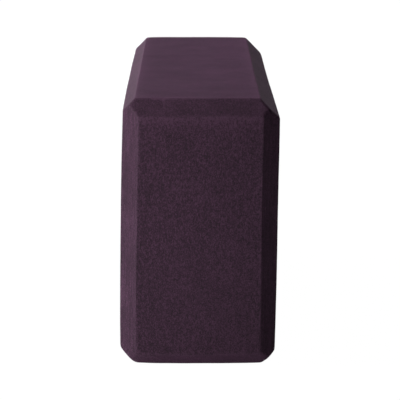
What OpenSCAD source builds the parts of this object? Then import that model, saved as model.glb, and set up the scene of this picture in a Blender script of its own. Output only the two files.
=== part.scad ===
// Bevelled foam brick
//
// One solid block of firm closed-cell foam. Every edge is bevelled at 45 degrees, so three
// bevels meet in a point near each corner. The brick stands on its long narrow side: X runs
// across its thickness, Y along its length and Z up its height. The origin is at the centre
// of the box that holds the brick, on the surface that the brick stands on.

/* [Block] */
// Length, from the front end to the back end
block_length = 228; // [180:1:260]
// Height, as the brick stands on its long narrow side
block_height = 114; // [90:1:140]
// Thickness, from the left side to the right side
block_thickness = 66; // [50:1:90]

/* [Bevels] */
// Bevel of most edges, measured along each of the two faces that it joins
bevel = 6.4; // [4:0.1:12]
// Bevel along the upper left edge, which is cut a little narrower
bevel_top_left = 5.5; // [4:0.1:12]
// Bevel along the upper right edge, which is cut a little wider
bevel_top_right = 7.7; // [4:0.1:12]

/* [Look] */
// Colour of the foam
foam_colour = "#3f2d3b"; // [#3f2d3b:Plum, #23395b:Blue, #2f4f3a:Green, #333333:Charcoal]

/* [Hidden] */
// Corner order in a list of cuts: lower left, lower right, upper right, upper left
long_edge_cuts = [bevel, bevel, bevel_top_right, bevel_top_left];
even_cuts = [bevel, bevel, bevel, bevel];

// Outline of a rectangle centred on the origin, with its corners cut off at 45 degrees.
function cut_rectangle(width, height, cuts) = [
    [-width / 2 + cuts[0], -height / 2],
    [width / 2 - cuts[1], -height / 2],
    [width / 2, -height / 2 + cuts[1]],
    [width / 2, height / 2 - cuts[2]],
    [width / 2 - cuts[2], height / 2],
    [-width / 2 + cuts[3], height / 2],
    [-width / 2, height / 2 - cuts[3]],
    [-width / 2, -height / 2 + cuts[0]]
];

// A bar centred on the origin, with that outline and its length along Z.
module bar(width, height, length, cuts) {
    linear_extrude(length, center = true)
        polygon(cut_rectangle(width, height, cuts));
}

// The block is what three bars share. Each bar runs along one axis and carries the bevels of
// the four edges parallel to that axis.
module foam_brick() {
    color(foam_colour)
    translate([0, 0, block_height / 2])
    intersection() {
        // Edges along the length
        rotate([90, 0, 0])
            bar(block_thickness, block_height, block_length, long_edge_cuts);
        // Upright edges
        bar(block_thickness, block_length, block_height, even_cuts);
        // Edges across the thickness
        rotate([90, 0, 90])
            bar(block_length, block_height, block_thickness, even_cuts);
    }
}

foam_brick();
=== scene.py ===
"""Looks for the bevelled foam brick.

The CAD solid is the exact design. The piece made here stands for it: the same block with the
small unevenness of cut foam, softly rounded edges, dents, nicks and a fine-celled surface.
Lengths inside the shape functions are in millimetres, and everything in Blender is in metres.
"""

import math

import bmesh
import bpy
import numpy as np
from mathutils import Matrix, Vector


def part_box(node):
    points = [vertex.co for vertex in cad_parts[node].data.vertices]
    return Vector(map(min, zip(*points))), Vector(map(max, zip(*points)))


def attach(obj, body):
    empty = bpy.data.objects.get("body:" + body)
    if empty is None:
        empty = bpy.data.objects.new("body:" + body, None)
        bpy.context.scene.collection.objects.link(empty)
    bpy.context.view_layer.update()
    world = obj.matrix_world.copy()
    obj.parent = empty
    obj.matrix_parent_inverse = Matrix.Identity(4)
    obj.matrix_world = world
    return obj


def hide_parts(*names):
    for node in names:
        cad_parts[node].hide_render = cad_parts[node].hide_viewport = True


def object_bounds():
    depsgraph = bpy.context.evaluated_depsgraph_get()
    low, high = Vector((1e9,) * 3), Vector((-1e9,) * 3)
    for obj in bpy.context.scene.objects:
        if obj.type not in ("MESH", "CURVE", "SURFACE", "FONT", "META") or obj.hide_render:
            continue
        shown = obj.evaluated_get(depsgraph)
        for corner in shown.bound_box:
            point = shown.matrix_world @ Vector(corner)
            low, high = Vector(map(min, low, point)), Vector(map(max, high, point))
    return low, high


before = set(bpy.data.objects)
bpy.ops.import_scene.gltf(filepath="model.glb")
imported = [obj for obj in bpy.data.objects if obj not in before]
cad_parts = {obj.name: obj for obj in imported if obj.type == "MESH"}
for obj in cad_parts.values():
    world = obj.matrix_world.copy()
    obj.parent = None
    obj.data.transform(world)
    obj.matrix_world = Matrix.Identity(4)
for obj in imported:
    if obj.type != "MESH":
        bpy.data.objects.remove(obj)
cad_low, cad_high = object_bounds()

MM = 0.001
BRICK = "foam_brick"
LOW, HIGH = (np.array(corner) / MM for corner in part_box(BRICK))
SIZE = HIGH - LOW

# ---------------------------------------------------------------- shape, in millimetres
# How far each face stands in from the CAD box, at the low and the high end of an axis.
FACE_INSETS = {
    "left": ("z", 0.0, 0.9),
    "right": ("z", 0.25, -0.1),
    "front": ("z", 0.0, 0.1),
    "back": ("z", 0.1, 0.2),
    "bottom": ("x", 0.0, 0.2),
    "top": ("x", 0.6, 0.0),
}
# How far the middle of a broad side bulges back out, or dips if it is below 0: half way up, and
# half way along.
BULGES = {"left": (0.4, 0.3), "right": (0.05, -0.25)}
# Cut of each bevel along both of its faces, at the low and the high end of its edge, and how
# much deeper it is half way.
BEVELS = {
    ("left", "top"): ("y", 4.9, 5.3, 0.1),
    ("right", "top"): ("y", 8.4, 7.7, -0.1),
    ("left", "bottom"): ("y", 6.4, 6.6, 0.1),
    ("right", "bottom"): ("y", 5.5, 6.6, 0.2),
    ("left", "front"): ("z", 6.6, 6.9, 0.15),
    ("right", "front"): ("z", 6.3, 7.1, 0.4),
    ("left", "back"): ("z", 6.5, 6.2, 0.1),
    ("right", "back"): ("z", 6.3, 6.6, -0.1),
    ("front", "top"): ("x", 7.1, 6.9, -0.1),
    ("front", "bottom"): ("x", 5.0, 6.7, -0.4),
    ("back", "top"): ("x", 6.4, 6.2, 0.1),
    ("back", "bottom"): ("x", 6.5, 6.3, 0.0),
}
USUAL_CUT = 6.4  # where no bevel is near enough to say
AXES = "xyz"
FACE_AXIS = {"left": 0, "right": 0, "front": 1, "back": 1, "bottom": 2, "top": 2}
HIGH_FACES = ("right", "back", "top")  # those at the high end of their axis

EDGE_SOFTNESS = 0.07  # rounds an edge to a radius of about half a millimetre
WEAR_SPREAD = 0.25  # how far the worn look reaches from an edge
PAINTED_HIGHLIGHT_SPREAD = 1.4  # how far a face is paler beside an upper bevel, a painted highlight
CORE_MARGIN = 12.0  # the grid fans out over the bevels from a core this far inside
GRID_STEP = 1.15
CARVE_REACH = 1.02  # the search for the surface ends a little beyond the CAD box
CARVE_STEPS = 26  # halvings in that search

# Waviness of each cut: (size of the waves, their depth), from the saw's drift to torn cells.
FACE_WAVES = ((38.0, 0.16), (9.0, 0.06), (2.6, 0.03))
BEVEL_WAVES = ((24.0, 0.18), (6.0, 0.10), (2.2, 0.06))
BASE_WAVINESS = 0.3  # the underside is pressed flatter than the other faces

# Corners rubbed rounder than the edges: (place as shares of the CAD box, reach, added softness).
ROUND_CORNERS = (
    ((0.0, 0.0, 0.0), 12.0, 0.68),
    ((1.0, 0.0, 0.0), 12.0, 0.4),
    ((0.0, 1.0, 1.0), 12.0, 0.2),
    ((1.0, 1.0, 1.0), 13.0, 0.6),
    ((0.0, 0.0, 1.0), 11.0, 0.15),
    ((1.0, 0.0, 1.0), 9.0, 0.3),
    ((0.0, 1.0, 0.0), 15.0, 0.45),
    ((1.0, 1.0, 0.0), 15.0, 0.5),
)

# Dents: (place in the CAD box as shares of its size, radius, depth).
DENTS = (
    ((0.02, 0.985, 0.965), 6.0, 0.7),
    ((0.97, 0.985, 0.970), 7.0, 0.4),
    ((0.97, 0.41, 0.985), 2.6, 0.5),
    ((1.00, 0.66, 0.34), 3.2, 0.35),
    ((0.00, 0.28, 0.61), 3.6, 0.3),
    ((0.02, 0.73, 0.03), 2.4, 0.5),
    ((0.61, 0.985, 0.03), 2.0, 0.5),
    ((0.42, 1.00, 0.55), 2.8, 0.3),
    ((0.66, 0.57, 1.00), 3.0, 0.25),
)
# Small nicks torn out of the upper front edge, listed like the dents.
NICKS = (
    ((0.208, 0.030, 0.999), 1.0, 0.8),
    ((0.256, 0.029, 0.998), 1.0, 0.9),
    ((0.268, 0.020, 0.983), 1.0, 0.5),
)


def lattice_noise(points, cell, seed):
    """Smooth noise from 0 to 1 at points, with features about one cell across."""
    count = 32
    table = np.random.default_rng(seed).random((count, count, count))
    scaled = points / cell
    base = np.floor(scaled).astype(int)
    part = scaled - base
    part = part * part * part * (part * (part * 6 - 15) + 10)
    total = np.zeros(len(points))
    for corner in np.ndindex(2, 2, 2):
        weight = np.prod(np.where(corner, part, 1 - part), axis=1)
        total += weight * table[tuple(((base + corner) % count).T)]
    return total


def waves(points, layers, seed):
    """How far in a cut stands, from several sizes of waviness."""
    return sum(
        depth * (lattice_noise(points, cell, seed * 10 + i) - 0.5)
        for i, (cell, depth) in enumerate(layers)
    )


def arch(share):
    """0 at both ends and 1 half way."""
    return 4 * share * (1 - share)


def along(points, rule):
    """A value that runs evenly between its two ends along one axis of the box, with a bow."""
    axis, at_low, at_high, *bow = rule
    k = AXES.index(axis)
    share = (points[:, k] - LOW[k]) / SIZE[k]
    return at_low + (at_high - at_low) * share + sum(bow) * arch(share)


def from_box(points, face):
    """Distance inwards from one side of the CAD box."""
    k = FACE_AXIS[face]
    return HIGH[k] - points[:, k] if face in HIGH_FACES else points[:, k] - LOW[k]


def depths(points):
    """Distance inwards from each of the eighteen cuts, as they would be with no waviness."""
    faces = {}
    over = arch((points - LOW) / SIZE)
    for face, rule in FACE_INSETS.items():
        up, lengthwise = BULGES.get(face, (0.0, 0.0))
        bulge = up * over[:, 2] + lengthwise * over[:, 1]
        faces[face] = from_box(points, face) - along(points, rule) + bulge
    bevels = [
        (faces[a] + faces[b] - along(points, rule)) / math.sqrt(2)
        for (a, b), rule in BEVELS.items()
    ]
    return np.array([*faces.values(), *bevels])


def pressed(points, marks):
    """How far the dents or nicks press the surface in."""
    total = np.zeros(len(points))
    for share, radius, depth in marks:
        away = np.linalg.norm(points - (LOW + SIZE * np.array(share)), axis=1) / radius
        total += depth * np.exp(-away * away)
    return total


def softness(points):
    """Size of the rounding between cuts, larger at rubbed corners."""
    total = np.full(len(points), EDGE_SOFTNESS)
    for share, reach, added in ROUND_CORNERS:
        away = np.linalg.norm(points - (LOW + SIZE * np.array(share)), axis=1) / reach
        total += added * np.exp(-away * away)
    return total


def end_rows(cut):
    """Distances from a box side at which grid lines run, close together along the bevel's edge."""
    over_bevel = [cut * share for share in (0.0, 0.2, 0.4, 0.6, 0.78)]
    round_edge = [cut + step for step in (-0.5, -0.25, -0.08, 0.08, 0.25, 0.5)]
    beyond = [cut + step * (CORE_MARGIN - cut) for step in (0.2, 0.4, 0.68)]
    return np.array([*over_bevel, *round_edge, *beyond])


def grid_counts():
    """How many grid cells cross each axis, and how many of them lie in each end zone."""
    zone = len(end_rows(USUAL_CUT))
    middle = np.round((SIZE - 2 * CORE_MARGIN) / GRID_STEP).astype(int)
    return middle + 2 * zone, zone


def surface_lattice(counts):
    """Whole-number places on the surface of a box of cells, and the quads between them."""
    index, places, quads = {}, [], []

    def place(key):
        if key not in index:
            index[key] = len(places)
            places.append(key)
        return index[key]

    for axis in range(3):
        u, v = (axis + 1) % 3, (axis + 2) % 3
        for end in (0, counts[axis]):
            for i in range(counts[u]):
                for j in range(counts[v]):
                    ring = []
                    for di, dj in ((0, 0), (1, 0), (1, 1), (0, 1)):
                        key = [0, 0, 0]
                        key[axis], key[u], key[v] = end, i + di, j + dj
                        ring.append(place(tuple(key)))
                    quads.append(ring if end else ring[::-1])
    return np.array(places), quads


def closeness(distance):
    """1 on a side of the box, falling smoothly to 0 at the core."""
    share = np.clip(1 - distance / CORE_MARGIN, 0, 1)
    return share * share * (3 - 2 * share)


def start_points(places, counts, zone):
    """Grid points on the CAD box. In the end zones, the lines follow the bevels' edges."""
    usual_rows = np.array([*end_rows(USUAL_CUT), CORE_MARGIN])
    even = np.empty(places.shape)
    for k in range(3):
        step = (SIZE[k] - 2 * CORE_MARGIN) / (counts[k] - 2 * zone)
        from_low, from_high = places[:, k], counts[k] - places[:, k]
        inner = CORE_MARGIN + (from_low - zone) * step
        low_end = usual_rows[np.minimum(from_low, zone)]
        high_end = SIZE[k] - usual_rows[np.minimum(from_high, zone)]
        even[:, k] = np.where(from_low < zone, low_end, np.where(from_high < zone, high_end, inner))
    even += LOW
    # Each grid line of an end zone then keeps beside the edge of the bevels nearest to it.
    points = even.copy()
    for k in range(3):
        for face in (f for f in FACE_AXIS if FACE_AXIS[f] == k):
            steps = counts[k] - places[:, k] if face in HIGH_FACES else places[:, k]
            near = steps < zone
            weight, mean = np.zeros(near.sum()), np.zeros(near.sum())
            for pair, rule in BEVELS.items():
                if face in pair:
                    other = pair[0] if pair[1] == face else pair[1]
                    share = closeness(from_box(even[near], other)) ** 4
                    weight += share
                    mean += share * along(even[near], rule)
            cut = np.where(weight > 1e-9, mean / np.maximum(weight, 1e-9), USUAL_CUT)
            rows = np.array([end_rows(c)[s] for c, s in zip(cut, steps[near])])
            points[near, k] = HIGH[k] - rows if face in HIGH_FACES else LOW[k] + rows
    return points


def carve(start):
    """Moves grid points in to the surface that the wavy cuts leave, with rounded edges."""
    core = np.clip(start, LOW + CORE_MARGIN, HIGH - CORE_MARGIN)
    soft = softness(start)

    def depth_inside(share, inwards):
        at = core + (start - core) * share[:, None]
        cuts = depths(at) - inwards
        lowest = cuts.min(axis=0)
        return lowest - soft * np.log(np.exp((lowest - cuts) / soft).sum(axis=0))

    def solve(inwards):
        inside, outside = np.zeros(len(start)), np.full(len(start), CARVE_REACH)
        for _ in range(CARVE_STEPS):
            middle = (inside + outside) / 2
            solid = depth_inside(middle, inwards) > 0
            inside = np.where(solid, middle, inside)
            outside = np.where(solid, outside, middle)
        return core + (start - core) * inside[:, None]

    rough = solve(0.0)
    layers = [FACE_WAVES] * len(FACE_INSETS) + [BEVEL_WAVES] * len(BEVELS)
    inwards = np.array([waves(rough, layer, seed) for seed, layer in enumerate(layers, 1)])
    inwards[list(FACE_INSETS).index("bottom")] *= BASE_WAVINESS
    return solve(inwards + pressed(rough, DENTS + NICKS))


def surface_marks(points):
    """Per point: bevel, wear of the edges, a painted highlight on the faces beside the upper bevels, and
    torn nicks.
    """
    cuts = depths(points)
    upper = [len(FACE_INSETS) + i for i, pair in enumerate(BEVELS) if "top" in pair]

    def shares(spread):
        share = np.exp((cuts.min(axis=0) - cuts) / spread)
        return share / share.sum(axis=0)

    bevel = shares(WEAR_SPREAD)[len(FACE_INSETS) :].sum(axis=0)
    wear = np.clip(2 * (1 - shares(WEAR_SPREAD).max(axis=0)), 0, 1)
    # Painted highlight: the faces are made paler in a band beside the bevels next to the top.
    painted_highlight = np.clip(2 * shares(PAINTED_HIGHLIGHT_SPREAD)[upper].sum(axis=0), 0, 1) * (1 - bevel)
    return {"wear": wear, "painted_highlight": painted_highlight, "bevel": bevel, "torn": pressed(points, NICKS)}


def make_brick():
    counts, zone = grid_counts()
    places, quads = surface_lattice(counts)
    points = carve(start_points(places, counts, zone))
    mesh = bpy.data.meshes.new("foam_block")
    mesh.from_pydata((points * MM).tolist(), [], quads)
    mesh.update()
    mesh.shade_smooth()
    for name, values in surface_marks(points).items():
        mesh.attributes.new(name, "FLOAT", "POINT").data.foreach_set("value", values.astype(np.float32))
    piece = bpy.data.objects.new("foam_block", mesh)
    bpy.context.scene.collection.objects.link(piece)
    return piece


# ---------------------------------------------------------------- material
FOAM_DARK = (0.020, 0.0065, 0.016, 1)
FOAM_MID = (0.070, 0.026, 0.058, 1)
FOAM_PALE = (0.140, 0.058, 0.118, 1)

# Textures, in features per metre. The foam rose upwards, so its cells stand taller than wide.
CELLS_PER_METRE = 2700.0
CLUMPS_PER_METRE = 950.0
PORES_PER_METRE = 1500.0
PATCHES_PER_METRE = 60.0
WIDE_PATCHES_PER_METRE = (60.0, 85.0, 85.0)
SAW_LINES_PER_METRE = (1800.0, 1800.0, 60.0)
CELL_RISE = (1.0, 1.0, 0.62)

# How far each texture swings the tone, which runs from 0 for dark pores to 1 for pale cell walls.
MIDDLE_TONE = 0.5
CELL_SWING, CLUMP_SWING = 1.5, 0.35
GRAIN_GAIN, GRAIN_LOST_ON_BEVEL = 1.75, 0.3
PATCH_SWING, PATCH_MORE_ON_BEVEL, PATCH_MORE_ON_LEVEL = 0.25, 0.3, 0.4
WIDE_PATCH_SWING = 0.6
LEVEL_SHARPNESS = 8.0  # how soon the level faces' own patches end as a surface tilts
SAW_SWING, SAW_MORE_ON_BEVEL = 0.35, 0.35
# How much paler it is where it is worn, in the painted highlight beside the upper bevels, and in the
# nicks.
WORN_TONE, PAINTED_HIGHLIGHT_TONE, TORN_TONE = 0.10, 0.42, 1.2

PORE_RADIUS, PORE_DEPTH = 0.22, 0.4  # as shares of the pores' spacing and of the cells' height
CLUMP_HEIGHT = 0.35
BUMP_HEIGHT = 0.18 * MM
ROUGHNESS, ROUGHNESS_OF_CELLS, ROUGHNESS_WORN = 0.77, 0.16, -0.08


class Nodes:
    """Short calls for building a node tree. Inputs go by name, or by number as i0, i1 and i2."""

    def __init__(self, tree):
        self.tree = tree
        tree.nodes.clear()

    def add(self, kind, settings=(), **inputs):
        made = self.tree.nodes.new(kind)
        for name, value in dict(settings).items():
            setattr(made, name, value)
        for name, value in inputs.items():
            key = int(name[1:]) if name[1:].isdigit() else name.replace("_", " ")
            socket = made.inputs[key]
            if isinstance(value, bpy.types.NodeSocket):
                self.tree.links.new(value, socket)
            else:
                socket.default_value = value
        return made

    def math(self, operation, a, b=0.0, c=0.0):
        return self.add("ShaderNodeMath", {"operation": operation}, i0=a, i1=b, i2=c).outputs[0]


def foam_material():
    material = bpy.data.materials.new("closed_cell_foam")
    material.use_nodes = True
    n = Nodes(material.node_tree)
    place = n.add("ShaderNodeTexCoord").outputs["Object"]
    wear, painted_highlight, bevel, torn = (
        n.add("ShaderNodeAttribute", {"attribute_name": name}).outputs["Fac"]
        for name in ("wear", "painted_highlight", "bevel", "torn")
    )

    def noise(scale, detail=2.0, roughness=0.5, vector=place):
        return n.add(
            "ShaderNodeTexNoise", Vector=vector, Scale=scale, Detail=detail, Roughness=roughness
        ).outputs["Fac"]

    # Fine cells and their clumps, slow patches and faint upright saw lines everywhere, and on the
    # top and the underside more patches, which are wider across the brick than along it.
    risen = n.add("ShaderNodeMapping", Vector=place, Scale=CELL_RISE).outputs["Vector"]
    cells = noise(CELLS_PER_METRE, 2.0, 0.6, risen)
    clumps = noise(CLUMPS_PER_METRE, 1.0, 0.5, risen)
    patches = noise(PATCHES_PER_METRE, 3.0, 0.6)
    across = n.add("ShaderNodeMapping", Vector=place, Scale=WIDE_PATCHES_PER_METRE)
    wide_patches = noise(1.0, 3.0, 0.6, across.outputs["Vector"])
    upwards = n.add("ShaderNodeMapping", Vector=place, Scale=SAW_LINES_PER_METRE)
    saw_lines = noise(1.0, 1.0, 0.5, upwards.outputs["Vector"])
    pores = n.add(
        "ShaderNodeTexVoronoi", Vector=risen, Scale=PORES_PER_METRE, Randomness=1.0
    ).outputs["Distance"]
    normal = n.add("ShaderNodeTexCoord").outputs["Normal"]
    upright = n.add("ShaderNodeSeparateXYZ", Vector=normal).outputs["Z"]
    level = n.math("POWER", n.math("ABSOLUTE", upright), LEVEL_SHARPNESS)

    def swing(tone, texture, amount):
        return n.math("MULTIPLY_ADD", n.math("SUBTRACT", texture, 0.5), amount, tone)

    grain = swing(swing(0.0, cells, CELL_SWING), clumps, CLUMP_SWING)
    kept = n.math("MULTIPLY_ADD", bevel, -GRAIN_LOST_ON_BEVEL, 1.0)
    tone = n.math("MULTIPLY_ADD", n.math("MULTIPLY", grain, kept), GRAIN_GAIN, MIDDLE_TONE)
    patchiness = n.math("MULTIPLY_ADD", bevel, PATCH_MORE_ON_BEVEL, PATCH_SWING)
    patchiness = n.math("MULTIPLY_ADD", level, PATCH_MORE_ON_LEVEL, patchiness)
    tone = swing(tone, patches, patchiness)
    tone = swing(tone, wide_patches, n.math("MULTIPLY", level, WIDE_PATCH_SWING))
    tone = swing(tone, saw_lines, n.math("MULTIPLY_ADD", bevel, SAW_MORE_ON_BEVEL, SAW_SWING))
    # The paler band beside the upper bevels is a painted highlight.
    for mark, paler in ((wear, WORN_TONE), (painted_highlight, PAINTED_HIGHLIGHT_TONE), (torn, TORN_TONE)):
        tone = n.math("MULTIPLY_ADD", mark, paler, tone)
    ramp = n.add("ShaderNodeValToRGB", Fac=tone)
    ramp.color_ramp.elements[0].color = FOAM_DARK
    ramp.color_ramp.elements[1].color = FOAM_PALE
    ramp.color_ramp.elements.new(MIDDLE_TONE).color = FOAM_MID

    # The cut cells stand up a little, and a few open pores go down.
    pits = n.math("MULTIPLY", n.math("LESS_THAN", pores, PORE_RADIUS), -PORE_DEPTH)
    relief = n.math("MULTIPLY_ADD", clumps, CLUMP_HEIGHT, cells)
    relief = n.math("ADD", relief, pits)
    bump = n.add("ShaderNodeBump", Strength=1.0, Distance=BUMP_HEIGHT, Height=relief)

    roughness = n.math("MULTIPLY_ADD", cells, ROUGHNESS_OF_CELLS, ROUGHNESS)
    roughness = n.math("MULTIPLY_ADD", wear, ROUGHNESS_WORN, roughness)
    shader = n.add(
        "ShaderNodeBsdfPrincipled",
        Base_Color=ramp.outputs["Color"],
        Roughness=roughness,
        Normal=bump.outputs["Normal"],
    )
    shader.inputs["IOR"].default_value = 1.48
    shader.inputs["Specular IOR Level"].default_value = 0.6
    shader.inputs["Sheen Weight"].default_value = 0.12
    shader.inputs["Sheen Roughness"].default_value = 0.45
    shader.inputs["Sheen Tint"].default_value = (1.0, 0.3, 0.85, 1)
    n.add("ShaderNodeOutputMaterial", Surface=shader.outputs[0])
    return material


# ---------------------------------------------------------------- stage, lights and camera
FLOOR_SIDE = 12.0
FLOOR_GLOW = 1.0
FLOOR_GREY = 0.04
BOUNCE_DROP = 0.5 * MM  # the floor that lights the brick lies just below the one that is seen
BOUNCE_GREY = 0.7
BOUNCE_GLOW = 0.12
BACKDROP_RADIUS = 9.0
BACKDROP_GLOW = 1.0

# Each light's place, in degrees round from +X towards +Y, degrees up and metres away, with its
# side in metres and its power in watts. The low one has a grid, so its narrow beam ends on the
# front: spread is the beam's angle in degrees, and it faces a point that lies metres to the right
# of the brick's middle, and above it.
LIGHTS = {
    "key_left": dict(around=175, up=40, distance=2.0, side=1.0, power=18.0),
    "low_left": dict(
        around=220, up=3, distance=0.6, side=0.35, power=0.21, spread=16.5, right=-0.1, above=0.09
    ),
    "back_left": dict(around=115, up=7, distance=2.0, side=1.0, power=10.0),
    "back_right": dict(around=60, up=5, distance=2.0, side=0.4, power=5.0),
}

CAMERA_LENS, CAMERA_SENSOR = 168.0, 36.0  # mm
CAMERA_FROM_FRONT = 0.7568  # metres, like the next two
CAMERA_HEIGHT = 0.229
CAMERA_X = -0.0066
CAMERA_YAW, CAMERA_PITCH, CAMERA_ROLL = 0.51, 11.71, 0.63  # degrees


def only_for_camera(thing):
    """The camera sees it, but it lights and shades nothing."""
    for flag in ("diffuse", "glossy", "transmission", "volume_scatter", "shadow"):
        setattr(thing, "visible_" + flag, False)


def stage_object(name, mesh, material):
    thing = bpy.data.objects.new(name, mesh)
    mesh.materials.append(material)
    bpy.context.scene.collection.objects.link(thing)
    return thing


def flat_square(name, side, height):
    half = side / 2
    corners = [(-half, -half, height), (half, -half, height), (half, half, height), (-half, half, height)]
    mesh = bpy.data.meshes.new(name)
    mesh.from_pydata(corners, [], [(0, 1, 2, 3)])
    return mesh


def pale_material(name, grey, glow):
    material = bpy.data.materials.new(name)
    material.use_nodes = True
    n = Nodes(material.node_tree)
    diffuse = n.add("ShaderNodeBsdfDiffuse", Color=(grey, grey, grey, 1))
    light = n.add("ShaderNodeEmission", Color=(1, 1, 1, 1), Strength=glow)
    both = n.add("ShaderNodeAddShader", i0=diffuse.outputs[0], i1=light.outputs[0])
    n.add("ShaderNodeOutputMaterial", Surface=both.outputs[0])
    return material


def make_stage():
    """A white floor and backdrop for the camera, and a greyer floor that lights the brick from below."""
    white = pale_material("white_floor", FLOOR_GREY, FLOOR_GLOW)
    floor = stage_object("floor", flat_square("floor", FLOOR_SIDE, 0.0), white)
    only_for_camera(floor)
    grey = pale_material("grey_floor", BOUNCE_GREY, BOUNCE_GLOW)
    bounce = stage_object("bounce_floor", flat_square("bounce_floor", FLOOR_SIDE, -BOUNCE_DROP), grey)
    bounce.visible_camera = False
    dome = bpy.data.meshes.new("backdrop")
    shape = bmesh.new()
    bmesh.ops.create_icosphere(shape, subdivisions=3, radius=BACKDROP_RADIUS)
    shape.to_mesh(dome)
    shape.free()
    backdrop = stage_object("backdrop", dome, pale_material("white_backdrop", 0.0, BACKDROP_GLOW))
    only_for_camera(backdrop)


def make_light(name, around, up, distance, side, power, spread=180.0, right=0.0, above=0.0):
    around, up = math.radians(around), math.radians(up)
    away = Vector((math.cos(up) * math.cos(around), math.cos(up) * math.sin(around), math.sin(up)))
    data = bpy.data.lights.new(name, "AREA")
    data.shape, data.size, data.energy = "SQUARE", side, power
    data.spread = math.radians(spread)
    lamp = bpy.data.objects.new(name, data)
    lamp.location = (cad_low + cad_high) / 2 + Vector((right, 0, above)) + away * distance
    lamp.rotation_euler = away.to_track_quat("Z", "Y").to_euler()
    lamp.visible_camera = False
    bpy.context.scene.collection.objects.link(lamp)


def make_lights():
    world = bpy.data.worlds.new("studio")
    bpy.context.scene.world = world
    world.use_nodes = True
    world.node_tree.nodes["Background"].inputs["Strength"].default_value = 0.0
    for name, settings in LIGHTS.items():
        make_light(name, **settings)


def make_camera():
    yaw, pitch, roll = (math.radians(a) for a in (CAMERA_YAW, CAMERA_PITCH, CAMERA_ROLL))
    forward = Vector((math.sin(yaw) * math.cos(pitch), math.cos(yaw) * math.cos(pitch), -math.sin(pitch)))
    level = Vector((math.cos(yaw), -math.sin(yaw), 0))
    upright = level.cross(forward)
    right = level * math.cos(roll) + upright * math.sin(roll)
    up = upright * math.cos(roll) - level * math.sin(roll)
    data = bpy.data.cameras.new("camera")
    data.lens = CAMERA_LENS
    data.sensor_width = CAMERA_SENSOR
    data.clip_start, data.clip_end = 0.01, 50.0
    camera = bpy.data.objects.new("camera", data)
    turn = Matrix((right, up, -forward)).transposed().to_4x4()
    place = Vector((CAMERA_X, cad_low.y - CAMERA_FROM_FRONT, CAMERA_HEIGHT))
    camera.matrix_world = Matrix.Translation(place) @ turn
    bpy.context.scene.collection.objects.link(camera)
    bpy.context.scene.camera = camera


def set_colours():
    view = bpy.context.scene.view_settings
    view.view_transform = "Standard"
    view.look = "None"
    view.exposure = 0.0
    view.gamma = 1.0


make_camera()
make_stage()
make_lights()
set_colours()

brick = make_brick()
brick.data.materials.append(foam_material())
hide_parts(BRICK)
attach(brick, "root")
